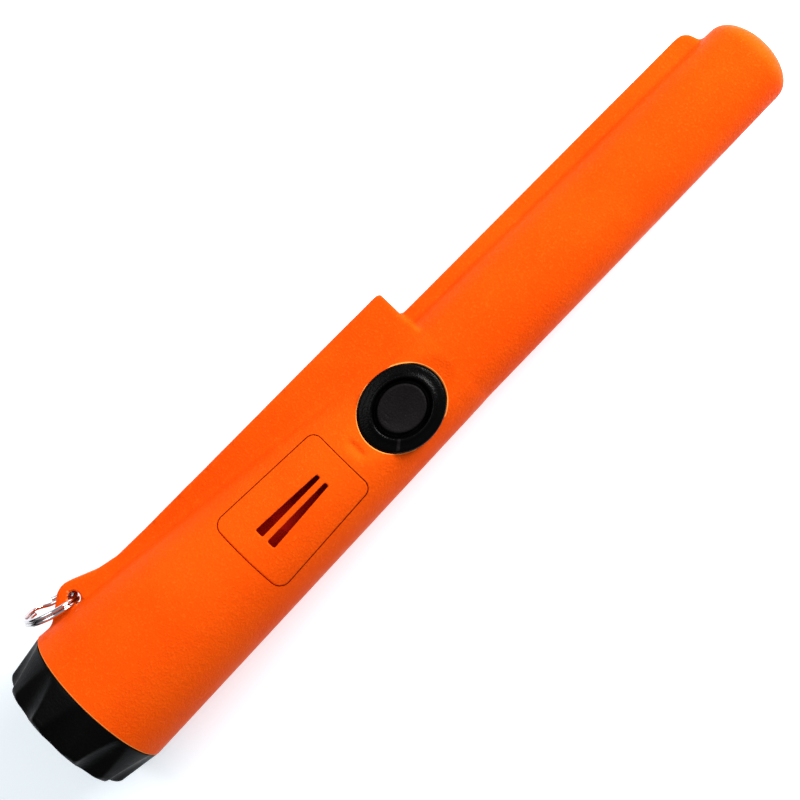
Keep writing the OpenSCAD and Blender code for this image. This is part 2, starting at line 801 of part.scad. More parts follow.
module coil_former() {
    color("ivory") difference() {
        union() {
            disc_x(former_x, coil_y, 0, barrel_r, former_length);
            for (x = flange_x) disc_x(x, coil_y, 0, flange_r, flange_t);
        }
        disc_x(former_x - 1, coil_y, 0, ferrite_r + seat_gap, former_length + 2);
        disc_x(former_x - 1, coil_y, 6.5, 1.1, flange_t + 1.5);
    }
}

// One winding on the former's barrel, between two flanges.
module winding(i, thickness) {
    x1 = flange_x[i] + flange_t + 0.1;
    r = barrel_r + seat_gap / 2;
    tube_x(x1, coil_y, 0, r + thickness, r, flange_x[i + 1] - 0.1 - x1);
}

module transmit_coil() {
    color("chocolate") winding(1, 2.4);
}

module receive_coils() {
    color("peru") for (i = [0, 2]) winding(i, 1.8);
}

module coil_shield() {
    color("gray") tube_x(former_x, coil_y, 0, shield_in_r + shield_t, shield_in_r, former_length);
}

module tip_cushion() {
    color("dimgray") disc_x(former_end + 0.2, coil_y, 0, flange_r, 2.4);
}

// Leads inside the housing: pairs of fine insulated wires, each end square to what it is soldered to.
lead_r = 0.45;
module battery_leads() {
    x = board_x + 2.5;
    color("red") for (side = [-1, 1]) let (y = handle_y(plate_x) + side * 2.5)
        wire([[plate_x + plate_t / 2, y, 9], [bulkhead_x + bulkhead_t, y, 9], [x - 2, y, 8.6],
            [x - 0.4, y, 7.2], [x, y, 5], [x, y, board_top]], lead_r, up = [0, 1, 0]);
}

module speaker_leads() {
    x = speaker_x + 7;
    z = speaker_top - speaker_h + 1.4;
    color("black") for (side = [-1, 1]) let (y = speaker_y + side * 1.4)
        wire([[x, y, z], [x, y, z - 0.8], [x + 0.5, y, z - 1.6], [x + 0.7, y, z - 2.4],
            [x + 0.7, y, board_top]], lead_r, up = [0, 1, 0]);
}

module lamp_leads() {
    x = led_x - lamp_board_t;
    color("white") for (side = [-1, 1]) let (z = side * 0.8)
        wire([[x, lamp_y - 3, z], [x - 1.2, lamp_y - 3, z], [x - 3, lamp_y - 4.5, z + 0.6],
            [x - 4.5, lamp_y - 7, 3.4 + z], [x - 5.5, 5, 4.8 + z], [x - 6.5 - z, 3, 4.6],
            [x - 6.7 - z, 2.6, 3.4], [x - 6.7 - z, 2.6, board_top]], 0.4, up = [0.3, 0.3, 1]);
}

module motor_leads() {
    x = board_x + 0.8;
    color("blue") for (side = [-1, 1]) let (y = motor_y + side * 1.2)
        wire([[motor_x, y, motor_z], [motor_x - 1, y, motor_z], [motor_x - 3.4, y, motor_z + 1.2],
            [x + 0.2, y, -3.4], [x, y, -1.4], [x, y, board_z]], 0.4, up = [0, 1, 0]);
}

module coil_leads() {
    x = board_end - 1.5;
    color("brown") for (side = [-1, 1]) let (y = coil_y + side * 0.45)
        wire([[x, y, board_top], [x, y, 3.4], [x + 1, y, 5.2], [nose_x, y, 5.6], [nose_x + nose_t, y, 5.7],
            [former_x, y, 6.3], [former_x + flange_t, y, 6.5]], 0.3, up = [0, 1, 0]);
}

housing();
speaker_cover();
speaker_membrane();
speaker_gasket();
speaker();
button_collar();
button_pad();
switch_stem();
tact_switch();
battery_cap();
cap_o_ring();
cap_cushion();
battery();
battery_terminals();
battery_cradle();
contact_plate();
contact_leaves();
split_ring();
lamp_lens();
lens_seal();
lamp_led();
lamp_board();
chassis();
board_screws();
circuit_board();
processor();
amplifier();
capacitors();
vibration_motor();
motor_weight();
motor_cradle();
ferrite_rod();
coil_former();
transmit_coil();
receive_coils();
coil_shield();
tip_cushion();
battery_leads();
speaker_leads();
lamp_leads();
motor_leads();
coil_leads();
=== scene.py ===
import bpy
from math import atan2, cos, pi, radians, sin, sqrt, tan
from mathutils import Matrix, Vector


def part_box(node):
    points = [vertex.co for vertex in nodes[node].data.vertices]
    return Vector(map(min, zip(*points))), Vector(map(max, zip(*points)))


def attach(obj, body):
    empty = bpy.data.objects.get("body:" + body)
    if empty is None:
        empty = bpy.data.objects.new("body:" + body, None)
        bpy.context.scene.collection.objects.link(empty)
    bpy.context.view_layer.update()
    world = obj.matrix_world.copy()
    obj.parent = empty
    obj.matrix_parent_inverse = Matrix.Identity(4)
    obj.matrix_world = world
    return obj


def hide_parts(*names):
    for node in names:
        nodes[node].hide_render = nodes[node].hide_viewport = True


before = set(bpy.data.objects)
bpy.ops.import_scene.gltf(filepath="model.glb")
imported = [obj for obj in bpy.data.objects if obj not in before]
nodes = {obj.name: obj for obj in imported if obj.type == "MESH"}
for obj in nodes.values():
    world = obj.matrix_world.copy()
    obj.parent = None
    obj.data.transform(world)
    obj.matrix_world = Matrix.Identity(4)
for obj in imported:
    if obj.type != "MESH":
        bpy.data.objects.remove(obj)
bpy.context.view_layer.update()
mm = 0.001                                  # shapes are drawn in millimetres and stored in metres


# Picking, modifiers and booleans

def clearPick():
    if bpy.context.object and bpy.context.object.mode != "OBJECT":
        bpy.ops.object.mode_set(mode="OBJECT")
    bpy.ops.object.select_all(action="DESELECT")


def pickOnly(obj):
    clearPick()
    obj.select_set(True)
    bpy.context.view_layer.objects.active = obj


def editAll(obj):
    pickOnly(obj)
    bpy.ops.object.mode_set(mode="EDIT")
    bpy.ops.mesh.select_all(action="SELECT")


def leaveEdit():
    bpy.ops.object.mode_set(mode="OBJECT")


def addModifier(obj, kind, **settings):
    pickOnly(obj)
    mod = obj.modifiers.new(kind.lower(), kind)
    for key, value in settings.items():
        setattr(mod, key, value)
    bpy.ops.object.modifier_apply(modifier=mod.name)
    return obj


def carve(obj, tool, operation="DIFFERENCE", solver="MANIFOLD"):
    addModifier(obj, "BOOLEAN", object=tool, operation=operation, solver=solver)
    bpy.data.objects.remove(tool)
    return obj


def place(obj, matrix):
    obj.data.transform(matrix)
    return obj


def settle(obj):
    pickOnly(obj)
    bpy.ops.object.transform_apply(location=True, rotation=True, scale=True)
    return obj


def smoothShade(obj, angle=35):
    pickOnly(obj)
    bpy.ops.object.shade_smooth_by_angle(angle=radians(angle))
    return obj


def soften(obj, voxel, turns):
    addModifier(obj, "REMESH", mode="VOXEL", voxel_size=voxel * mm, adaptivity=0)
    return addModifier(obj, "SMOOTH", factor=0.5, iterations=turns)


# Basic shapes

def arcPoints(cx, cy, r, fromDeg, toDeg, count=8):
    step = (toDeg - fromDeg) / count
    return [(cx + r * cos(radians(fromDeg + step * i)), cy + r * sin(radians(fromDeg + step * i)))
            for i in range(count + 1)]


def ringOfPoints(name, points, fill):
    clearPick()
    bpy.ops.mesh.primitive_circle_add(vertices=len(points), radius=1, fill_type=fill)
    obj = bpy.context.object
    obj.name = name
    for vertex, point in zip(obj.data.vertices, points):
        vertex.co = Vector(point) * mm
    return obj


def prism(name, outline, low, high, axis="Z"):              # an outline pushed along one axis
    order = {"X": (2, 0, 1), "Y": (0, 2, 1), "Z": (0, 1, 2)}[axis]
    points = [[(u, v, low)[k] for k in order] for u, v in outline]
    obj = ringOfPoints(name, points, "NGON")
    travel = [0.0, 0.0, 0.0]
    travel["XYZ".index(axis)] = (high - low) * mm
    editAll(obj)
    bpy.ops.mesh.extrude_region_move(TRANSFORM_OT_translate={"value": travel})
    bpy.ops.mesh.select_all(action="SELECT")
    bpy.ops.mesh.normals_make_consistent(inside=False)
    leaveEdit()
    return obj


def turned(name, profile, steps=128, closed=False):         # (x, r) points turned about the X axis
    obj = ringOfPoints(name, [(x, 0, r) for x, r in profile], "NOTHING")
    if not closed:
        lastPoint = len(profile) - 1
        editAll(obj)
        bpy.ops.mesh.select_all(action="DESELECT")
        bpy.ops.mesh.select_mode(type="EDGE")
        leaveEdit()
        for edge in obj.data.edges:
            edge.select = set(edge.vertices) == {0, lastPoint}
        pickOnly(obj)
        bpy.ops.object.mode_set(mode="EDIT")
        bpy.ops.mesh.delete(type="EDGE")
        bpy.ops.mesh.select_mode(type="VERT")
    editAll(obj)
    bpy.ops.mesh.spin(steps=steps, angle=2 * pi, center=(0, 0, 0), axis=(1, 0, 0))
    bpy.ops.mesh.select_all(action="SELECT")
    bpy.ops.mesh.remove_doubles(threshold=1e-6)
    bpy.ops.mesh.select_all(action="SELECT")
    bpy.ops.mesh.dissolve_degenerate(threshold=1e-7)
    bpy.ops.mesh.select_all(action="SELECT")
    bpy.ops.mesh.normals_make_consistent(inside=False)
    leaveEdit()
    return obj


def cone(name, start, startR, end, endR, sides=160):        # a straight cone between two points
    way = Vector(end) - Vector(start)
    clearPick()
    bpy.ops.mesh.primitive_cone_add(vertices=sides, radius1=startR * mm, radius2=endR * mm,
                                    depth=way.length * mm)
    obj = bpy.context.object
    obj.name = name
    turn = Vector((0, 0, 1)).rotation_difference(way).to_matrix().to_4x4()
    return place(obj, Matrix.Translation((Vector(start) + Vector(end)) / 2 * mm) @ turn)


def disc(name, start, end, r, sides=128):
    return cone(name, start, r, end, r, sides)


def turnedUp(name, profile, steps=128, closed=False, squeeze=1.0):   # like turned, but about the Z axis
    obj = turned(name, profile, steps, closed)
    place(obj, Matrix.Rotation(radians(-90), 4, "Y"))
    return place(obj, Matrix.Diagonal((1, squeeze, 1, 1)))


def screwRidge(name, section, turnsDeg, lead, stepDeg=6):   # a thread ridge about the X axis
    obj = ringOfPoints(name, [(x, r, 0) for x, r in section], "NOTHING")
    addModifier(obj, "SCREW", axis="X", angle=radians(turnsDeg), screw_offset=lead * turnsDeg / 360 * mm,
                steps=int(turnsDeg / stepDeg), render_steps=int(turnsDeg / stepDeg))
    editAll(obj)
    bpy.ops.mesh.select_all(action="DESELECT")
    bpy.ops.mesh.select_non_manifold()
    bpy.ops.mesh.fill_holes(sides=8)
    bpy.ops.mesh.select_all(action="SELECT")
    bpy.ops.mesh.normals_make_consistent(inside=False)
    leaveEdit()
    return obj


# Sizes that several pieces share

tube = dict(mouthX=11.6, mouthR=19.4, waistX=124.2, waistR=12.4, waistDrop=4.1, domeX=222.5, tipR=11.0,
            tipDrop=4.9, domeDepth=6.0, wall=1.6, ledge=0.1, boreR=17.2, boreEnd=22.0, hollowX=20.6)


handleLength = tube["waistX"] - tube["mouthX"]
shaftLength = tube["domeX"] - tube["waistX"]


def handleR(x):
    return tube["mouthR"] + (tube["waistR"] - tube["mouthR"]) * (x - tube["mouthX"]) / handleLength


def handleY(x):
    return -tube["waistDrop"] * (x - tube["mouthX"]) / handleLength


def shaftR(x):
    return tube["waistR"] + (tube["tipR"] - tube["waistR"]) * (x - tube["waistX"]) / shaftLength


def shaftY(x):
    return -tube["waistDrop"] - (tube["tipDrop"] - tube["waistDrop"]) * (x - tube["waistX"]) / shaftLength


def handleCone(name, x1, x2, inset=0.0, sides=192):
    return cone(name, (x1, handleY(x1), 0), handleR(x1) - inset, (x2, handleY(x2), 0), handleR(x2) - inset,
                sides)


def shaftCone(name, x1, x2, inset=0.0):
    return cone(name, (x1, shaftY(x1), 0), shaftR(x1) - inset, (x2, shaftY(x2), 0), shaftR(x2) - inset)


button = dict(x=109.0, y=handleY(109.0) - 0.3, slope=atan2(tube["mouthR"] - tube["waistR"], handleLength),
              scoopR=63.0, scoopDepth=1.9, halfLength=11.05, aspect=0.86)
buttonFrame = (Matrix.Translation(Vector((button["x"], button["y"], handleR(button["x"]))) * mm)
               @ Matrix.Rotation(button["slope"], 4, "Y")
               @ Matrix.Translation((0, 0, -button["scoopDepth"] * mm)))


def ovalPoints(a, count=120):
    return [(a * cos(2 * pi * i / count), a * button["aspect"] * sin(2 * pi * i / count))
            for i in range(count)]


cover = dict(x=60.1, length=31.4, y=handleY(75.8), halfW=10.8, taper=1.3, corner=2.6, thick=1.3, gap=0.2,
             slotX=66.3, slotLength=18.6, bridge=1.5, slotWide=2.2, slotNarrow=1.1, seatInset=2.4,
             floorInset=1.4)
speakerPort = dict(x=75.8, low=9.4, high=18.0, bossR=10.9, r=6.0, roomLow=10.6, roomHigh=17.6, roomR=10.3,
                   roomHalf=4.9)


def coverOutline(inset):
    r = cover["corner"] - inset
    x1 = cover["x"] + inset + r
    x2 = cover["x"] + cover["length"] - inset - r
    h1 = cover["halfW"] - inset - r
    h2 = h1 - cover["taper"]
    corners = ((x2, h2, 0), (x1, h1, 90), (x1, -h1, 180), (x2, -h2, 270))
    return [(px, py + cover["y"]) for cx, cy, a in corners for px, py in arcPoints(cx, cy, r, a, a + 90, 6)]


# Housing: the outside is drawn from crossing solids, melted into one skin and softened, and only then are
# the crisp edges cut.

lampBlock = dict(x1=44.0, x2=tube["waistX"], baseY=-2.0, backTop=19.4, frontTop=18.5, planX=43.0,
                 backHalfW=3.1, halfW=8.4, edgeRound=1.6, frontWall=2.0, hollowX=57.0, holeY=14.0, holeR=2.3)


def blockSolid(name, x1, x2, inset=0.0):
    b = lampBlock
    sideTop = lambda x: b["backTop"] + (b["frontTop"] - b["backTop"]) * (x - b["x1"]) / (b["x2"] - b["x1"])
    side = prism(name, [(x1, b["baseY"]), (x2, b["baseY"]), (x2, sideTop(x2) - inset),
                        (x1, sideTop(x1) - inset)], -20, 20)
    wBack, wFront = b["backHalfW"] - inset, b["halfW"] + 0.4 - inset
    plan = prism("plan", [(b["planX"], -wBack), (b["x2"] + 0.01, -wFront), (b["x2"] + 0.01, wFront),
                          (b["planX"], wBack)], -40, 40, "Y")
    topW, baseW = b["halfW"] - 1.2 - inset, b["halfW"] + 0.2 - inset
    r, roundY = b["edgeRound"], b["backTop"] - inset - b["edgeRound"]
    section = prism("section", [(b["baseY"], -baseW)] + arcPoints(roundY, -topW + r, r, -90, 0)
                    + arcPoints(roundY, topW - r, r, 0, 90) + [(b["baseY"], baseW)], x1 - 1, x2 + 1, "X")
    carve(side, plan, "INTERSECT")
    return carve(side, section, "INTERSECT")


lug = dict(x=24.3, y=19.9, r=4.1, half=3.2, holeR=1.6)
fingerMark = dict(x=95.3, y=-2.9, half=1.9, r=1.2, lift=0.15)
blade = dict(half=1.5, top=11.5, fall=0.9, endX=218.6, endR=3.4)


def outerSkin():
    b, g = blade, lug
    handle = handleCone("housing_shell", tube["mouthX"] - 4, tube["waistX"], -tube["ledge"])
    tilt = atan2(tube["waistDrop"] - tube["tipDrop"], shaftLength)
    rootX = tube["waistX"] - 6                              # the shaft starts inside the handle
    reach = (tube["domeX"] - rootX) / cos(tilt)
    shaft = turned("shaft", [(0, 0), (0, shaftR(rootX))]
                   + [(reach + tube["domeDepth"] * sin(radians(a)), tube["tipR"] * cos(radians(a)))
                      for a in (0, 10, 20, 30, 40, 50, 60, 68, 76, 84)]
                   + [(reach + tube["domeDepth"], 0)], 128)
    place(shaft, Matrix.Translation((rootX * mm, shaftY(rootX) * mm, 0)) @ Matrix.Rotation(tilt, 4, "Z"))
    eye = disc("eye", (g["x"], g["y"], -g["half"]), (g["x"], g["y"], g["half"]), g["r"], 64)
    web = prism("web", [(11.6, 10), (11.6, 18.8), (16.3, 19.3), (21.9, 23.2), (26.1, 23.6), (32.7, 20.8),
                        (38.3, 19.6), (46, 19.4), (46, 8)], -g["half"], g["half"])
    low = shaftY(b["endX"]) + shaftR(b["endX"]) - 2
    edge = prism("blade", [(120.2, low), (b["endX"], low)]
                 + arcPoints(b["endX"] - b["endR"], b["top"] - b["fall"] - b["endR"], b["endR"], 0, 90)
                 + [(120.2, b["top"])], -b["half"], b["half"])
    return [handle, shaft, blockSolid("block", lampBlock["x1"], lampBlock["x2"]), eye, web, edge]


def makeHousing():
    skin = outerSkin()
    for part in skin[1:]:
        carve(skin[0], part, "UNION", "EXACT")
    shell = skin[0]
    scoop = disc("scoop", (0, -30, 0), (0, 30, 0), button["scoopR"], 256)
    place(scoop, buttonFrame @ Matrix.Translation((0, 0, button["scoopR"] * mm)))
    carve(shell, scoop)
    m = fingerMark
    steps = [radians(a) for a in range(0, 91, 15)]
    mark = turned("mark", [(-m["half"] - m["r"] * cos(a), m["r"] * sin(a)) for a in steps]
                  + [(m["half"] + m["r"] * sin(a), m["r"] * cos(a)) for a in steps], 48)
    place(mark, Matrix.Translation(Vector((m["x"], m["y"], handleR(m["x"]) + m["lift"])) * mm)
          @ Matrix.Rotation(radians(90), 4, "Z"))
    carve(shell, mark, "DIFFERENCE", "EXACT")
    soften(shell, 0.6, 6)
    print("housing skin", len(shell.data.polygons))
    # the hollow, then the wall that is thickened again under the speaker cover
    carve(shell, disc("mouthCut", (-5, 0, 0), (tube["mouthX"], 0, 0), 40))
    carve(shell, disc("bore", (10.6, 0, 0), (tube["boreEnd"], 0, 0), tube["boreR"]))
    carve(shell, handleCone("hollow", tube["hollowX"], tube["waistX"] + 2, tube["wall"]))
    carve(shell, shaftCone("shaftHollow", tube["waistX"] - 2, tube["domeX"], tube["wall"]))
    b, port, coverY = lampBlock, speakerPort, cover["y"]
    carve(shell, blockSolid("blockHollow", b["hollowX"], b["x2"] - b["frontWall"], tube["wall"]))
    boss = disc("boss", (port["x"], coverY, port["low"]), (port["x"], coverY, port["high"]), port["bossR"])
    seat = prism("seat", coverOutline(-1), 0, 30)
    carve(seat, handleCone("seatFloor", 50, 100, cover["seatInset"]))
    carve(seat, boss, "UNION", "EXACT")
    carve(seat, handleCone("seatTop", 50, 100, 0.8), "INTERSECT", "EXACT")
    carve(shell, seat, "UNION", "EXACT")
    pocket = prism("pocket", coverOutline(0), 0, 30)
    carve(pocket, handleCone("pocketFloor", 50, 100, cover["floorInset"]))
    carve(shell, pocket)
    chamber = disc("chamber", (port["x"], coverY, port["roomLow"]), (port["x"], coverY, port["roomHigh"]),
                   port["roomR"])
    near, far = coverY - port["roomHalf"], coverY + port["roomHalf"]
    sides = prism("sides", [(60, near), (90, near), (90, far), (60, far)], 10, 18)
    carve(chamber, sides, "INTERSECT", "EXACT")
    carve(shell, chamber)
    carve(shell, disc("port", (port["x"], coverY, port["low"] - 1), (port["x"], coverY, port["low"] + 7),
                      port["r"], 64))
    # the openings, each with a small chamfer where its edge shows
    hole = prism("buttonHole", ovalPoints(button["halfLength"]), -8.6, 8)
    carve(shell, place(hole, buttonFrame))
    lip = turnedUp("lip", [(-0.3, 10.9), (-0.3, 11.0), (0.16, 11.34), (1.2, 11.5), (1.2, 10.9)], 180, True,
                   button["aspect"])
    for vertex in lip.data.vertices:                        # the lip follows the scoop's floor
        vertex.co.z += (vertex.co.x / mm) ** 2 / (2 * button["scoopR"]) * mm
    carve(shell, place(lip, buttonFrame), "DIFFERENCE", "EXACT")
    rim = turned("rim", [(11.55, 19.15), (11.95, 19.62), (11.95, 20.4), (11.55, 20.4)], 160, True)
    carve(shell, rim)
    carve(shell, disc("lugHole", (lug["x"], lug["y"], -9), (lug["x"], lug["y"], 9), lug["holeR"], 48))
    for side in (-1, 1):
        carve(shell, cone("lugFlare", (lug["x"], lug["y"], side * 2.6), 1.4, (lug["x"], lug["y"], side * 3.9),
                          2.7, 48))
    carve(shell, disc("lampHole", (b["x2"] - 3, b["holeY"], 0), (b["x2"] + 1.8, b["holeY"], 0), b["holeR"],
                      48))
    ridge = screwRidge("boreRidge", [(16.25, 17.4), (16.5, 16.6), (17.1, 16.6), (17.35, 17.4)], 460, 3.6)
    carve(shell, ridge, "UNION", "EXACT")
    shell.name = "housing_shell"
    return smoothShade(shell, 38)


housing = makeHousing()
print("housing done", len(housing.data.polygons))


# Speaker cover: a curved panel whose edges and slot edges are softened like the moulded one

def makeCover():
    c = cover
    panel = prism("speaker_panel", coverOutline(c["gap"]), 5, 30)
    carve(panel, handleCone("panelTop", 50, 100, 0.0, 320), "INTERSECT", "EXACT")
    carve(panel, handleCone("panelFloor", 49, 101, c["thick"], 320), "DIFFERENCE", "EXACT")
    for side in (-1, 1):
        inner = side * c["bridge"] / 2
        end = c["slotX"] + c["slotLength"]
        outline = [(c["slotX"], inner), (end, inner), (end, inner + side * c["slotNarrow"]),
                   (c["slotX"], inner + side * c["slotWide"])]
        carve(panel, prism("slot", [(x, y + c["y"]) for x, y in outline], 5, 25), "DIFFERENCE", "EXACT")
    soften(panel, 0.2, 3)
    panel.name = "speaker_panel"
    return smoothShade(panel, 50)


panel = makeCover()
print("cover done", len(panel.data.polygons))


# Button: collar with a rounded rim and a moat, and the dished pad inside it

collar = dict(profile=[(-4.6, 10.85), (-4.4, 10.95), (0.2, 10.95), (0.5, 10.88), (0.76, 10.68),
                       (0.93, 10.36), (1.03, 9.95), (1.09, 9.5), (1.15, 9.1), (1.24, 8.75), (1.37, 8.45),
                       (1.5, 8.2), (1.58, 7.98), (1.6, 7.78), (1.54, 7.56), (1.38, 7.4), (1.05, 7.28),
                       (0.6, 7.2), (0.1, 7.15), (-0.6, 7.12),
                       (-0.82, 7.0),
                       (-0.9, 6.75), (-0.9, 4.4), (-0.93, 3.9), (-1.0, 3.6), (-1.15, 3.5), (-1.3, 3.55),
                       (-1.4, 3.75), (-1.4, 6.9), (-1.7, 7.2), (-4.4, 7.2), (-4.6, 7.35)],
              crestDip=0.18)


def makeCollar():
    obj = turnedUp("button_rim", collar["profile"], 180, True, button["aspect"])
    for vertex in obj.data.vertices:                        # the rim sinks a little at its two sides
        side = abs(vertex.co.y) / (10.95 * button["aspect"] * mm)
        if vertex.co.z > 0.3 * mm:
            vertex.co.z -= collar["crestDip"] * mm * side ** 3 * (vertex.co.z / (1.6 * mm))
    return smoothShade(place(obj, buttonFrame), 50)


pad = dict(profile=[(0.42, 0), (0.43, 0.9), (0.46, 1.8), (0.51, 2.7), (0.58, 3.6), (0.68, 4.4), (0.78, 5.0),
                    (0.86, 5.4), (0.88, 5.65), (0.83, 5.87), (0.7, 6.03), (0.5, 6.12), (0.2, 6.15),
                    (-0.02, 6.12), (-0.1, 6.0), (-0.1, 2.5), (-0.25, 2.25), (-0.5, 2.18), (-4.4, 2.18),
                    (-4.4, 0)])


def makePad():
    obj = turnedUp("button_top", pad["profile"], 144, False, button["aspect"])
    return smoothShade(place(obj, buttonFrame), 50)


rubberRim = makeCollar()
rubberTop = makePad()
print("button done")


# Battery cap: turned body, soft grip flutes pressed in from the side, groove in the end, thread inside

capShape = dict(endR=17.9, edge=2.0, stepX=0.77, stepR=0.121, skirtSteps=13, gripFrom=15.6, gripEnd=11.45,
                flutes=10, fluteR=7.0, fluteDepth=1.9, fluteAngle=17.5, blend=0.3, steps=240)


def softLess(a, b, k):
    h = max(0.0, min(1.0, 0.5 + 0.5 * (b - a) / k))
    return b * (1 - h) + a * h - k * h * (1 - h)


def makeCap():
    c = capShape
    edge, endR = c["edge"], c["endR"]
    outer = [(edge - edge * cos(radians(a)), endR - edge + edge * sin(radians(a))) for a in range(0, 85, 12)]
    outer += [(edge + i * c["stepX"], endR + i * c["stepR"]) for i in range(c["skirtSteps"])]
    profile = ([(0, 0), (0, 4.5), (0, 8.6), (0.1, 8.88), (0.42, 9.06), (0.5, 9.3), (0.5, 12.5),
                (0.42, 12.78), (0.1, 12.96), (0, 13.2)] + outer
               + [(11.38, 19.34), (11.5, 19.15), (11.5, 17.1), (11.6, 17.0), (12.2, 17.0), (12.3, 16.9),
                  (12.3, 16.05), (13.7, 16.05), (13.7, 16.9), (13.8, 17.0), (14.15, 17.0), (14.3, 16.85),
                  (14.3, 16.4), (21.2, 16.4), (21.5, 16.1), (21.5, 15.65), (21.35, 15.5), (3.0, 15.5),
                  (2.6, 15.1), (2.6, 0)])
    obj = turned("battery_lid", profile, c["steps"])
    pitch, lean = 2 * pi / c["flutes"], radians(c["fluteAngle"])
    flat = cos(lean) ** 2
    for vertex in obj.data.vertices:
        x, y, z = vertex.co / mm
        r = sqrt(y * y + z * z)
        if r < c["gripFrom"] or x > c["gripEnd"]:
            continue
        turn = (atan2(z, y) - pi / 2) % pitch
        turn = min(turn, pitch - turn)
        centre = endR + c["fluteR"] - c["fluteDepth"] + x * tan(lean)
        a = flat * cos(turn) ** 2 + sin(turn) ** 2
        half = flat * centre * cos(turn)
        reach = half ** 2 - a * (flat * centre ** 2 - c["fluteR"] ** 2)
        if reach > 0:
            newR = softLess(r, (half - sqrt(reach)) / a, c["blend"])
            vertex.co.y *= newR / r
            vertex.co.z *= newR / r
    ridge = screwRidge("capRidge", [(14.45, 16.2), (14.7, 17.0), (15.3, 17.0), (15.55, 16.2)], 600, 3.6)
    carve(obj, ridge, "UNION", "EXACT")
    obj.name = "battery_lid"
    return smoothShade(obj, 40)


lid = makeCap()
print("cap done", len(lid.data.polygons))


# Split ring: one wire in two turns, with a jog where it changes sides and two plain ends

ring = dict(x=18.239, y=22.106, meanR=6.7, wireR=0.5, offset=0.495, planeDeg=160, leanDeg=11,
            startDeg=318, turnDeg=676, jogFrom=318, jogLength=40, count=190)


def makeRing():
    g = ring
    clearPick()
    bpy.ops.curve.primitive_nurbs_path_add()
    wire = bpy.context.object
    wire.name = "key_ring"
    wire.data.splines.clear()
    spline = wire.data.splines.new("POLY")
    spline.points.add(g["count"] - 1)
    way = Vector((cos(radians(g["planeDeg"])), sin(radians(g["planeDeg"])), 0))
    lean = radians(g["leanDeg"])
    up = sin(lean) * Vector((-way.y, way.x, 0)) + cos(lean) * Vector((0, 0, 1))
    axis = way.cross(up)
    for i in range(g["count"]):
        turn = g["turnDeg"] * i / (g["count"] - 1)
        t = max(0.0, min(1.0, (turn - g["jogFrom"]) / g["jogLength"]))
        shift = g["offset"] * (2 * t * t * (3 - 2 * t) - 1)
        a = radians(g["startDeg"] + turn)
        point = Vector((g["x"], g["y"], 0)) + g["meanR"] * (cos(a) * way + sin(a) * up)
        spline.points[i].co = (*((point + shift * axis) * mm), 1)
    wire.data.bevel_depth = g["wireR"] * mm
    wire.data.bevel_resolution = 5
    wire.data.use_fill_caps = True
    wire.data.dimensions = "3D"
    pickOnly(wire)
    bpy.ops.object.convert(target="MESH")
    wire = bpy.context.object
    editAll(wire)
    bpy.ops.mesh.remove_doubles(threshold=1e-7)
    bpy.ops.mesh.normals_make_consistent(inside=False)
    leaveEdit()
    return smoothShade(settle(wire), 50)


keyRing = makeRing()
print("ring done")


# Lamp lens, and the three foam pads inside

def makeLens():
    low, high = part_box("lamp_lens")
    back, front = low[0] / mm, high[0] / mm
    obj = turned("lamp_window", [(back + 0.9, 0), (back + 0.8, 0.9), (back + 0.35, 1.5), (back, 1.7),
                                 (back, 2.8), (back + 0.1, 2.9), (back + 1.1, 2.9), (back + 1.2, 2.8),
                                 (back + 1.2, 2.2), (front - 0.4, 2.2), (front - 0.2, 2.1),
                                 (front - 0.08, 1.7), (front - 0.02, 1.0), (front, 0)], 64)
    return smoothShade(place(obj, Matrix.Translation((0, 14 * mm, 0))), 40)


def foamPad(name, node, bulge, closedHole=0.0, upright=False):
    low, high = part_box(node)
    k = 2 if upright else 0
    thick = (high[k] - low[k]) / mm
    r = (high[1] - low[1]) / 2 / mm
    e = min(0.45, thick * 0.45)
    inner = closedHole
    if inner:
        profile = [(e * 0.3, inner + e * 0.3), (0, inner + e), (0, (inner + r) / 2), (0, r - e),
                   (e * 0.3, r - e * 0.3), (thick / 2, r), (thick - e * 0.3, r - e * 0.3), (thick, r - e),
                   (thick, (inner + r) / 2), (thick, inner + e), (thick - e * 0.3, inner + e * 0.3)]
    else:
        profile = [(0, 0), (0, r * 0.5), (bulge, r - 2 * e), (bulge + e * 0.3, r - e * 0.4), (thick / 2, r),
                   (thick - bulge - e * 0.3, r - e * 0.4), (thick - bulge, r - 2 * e), (thick, r * 0.5),
                   (thick, 0)]
    obj = turnedUp(name, profile, 96, bool(inner)) if upright else turned(name, profile, 96, bool(inner))
    centre = [(a + b) / 2 for a, b in zip(low, high)]
    centre[k] = low[k]
    return smoothShade(place(obj, Matrix.Translation(centre)), 60)


window = makeLens()
lidFoam = foamPad("lid_foam", "cap_cushion", 0.12)
tipFoam = foamPad("tip_foam", "tip_cushion", 0.1)
speakerFoam = foamPad("speaker_foam", "speaker_gasket", 0.0, 6.5, True)
print("small pieces done")


# Shader groups that several finishes share

def newGroup(name, inputs, outputs):
    tree = bpy.data.node_groups.new(name, "ShaderNodeTree")
    for label, kind, value in inputs:
        socket = tree.interface.new_socket(name=label, in_out="INPUT", socket_type="NodeSocket" + kind)
        if value is not None:
            socket.default_value = value
    for label, kind in outputs:
        tree.interface.new_socket(name=label, in_out="OUTPUT", socket_type="NodeSocket" + kind)
    return tree, tree.nodes.new("NodeGroupInput").outputs, tree.nodes.new("NodeGroupOutput").inputs


def wire(tree, source, target):
    tree.links.new(source, target)


def noiseNode(tree, vector, scale, detail=3.0, rough=0.55):
    node = tree.nodes.new("ShaderNodeTexNoise")
    wire(tree, vector, node.inputs["Vector"])
    if isinstance(scale, (int, float)):
        node.inputs["Scale"].default_value = scale
    else:
        wire(tree, scale, node.inputs["Scale"])
    node.inputs["Detail"].default_value = detail
    node.inputs["Roughness"].default_value = rough
    return node.outputs["Fac"]


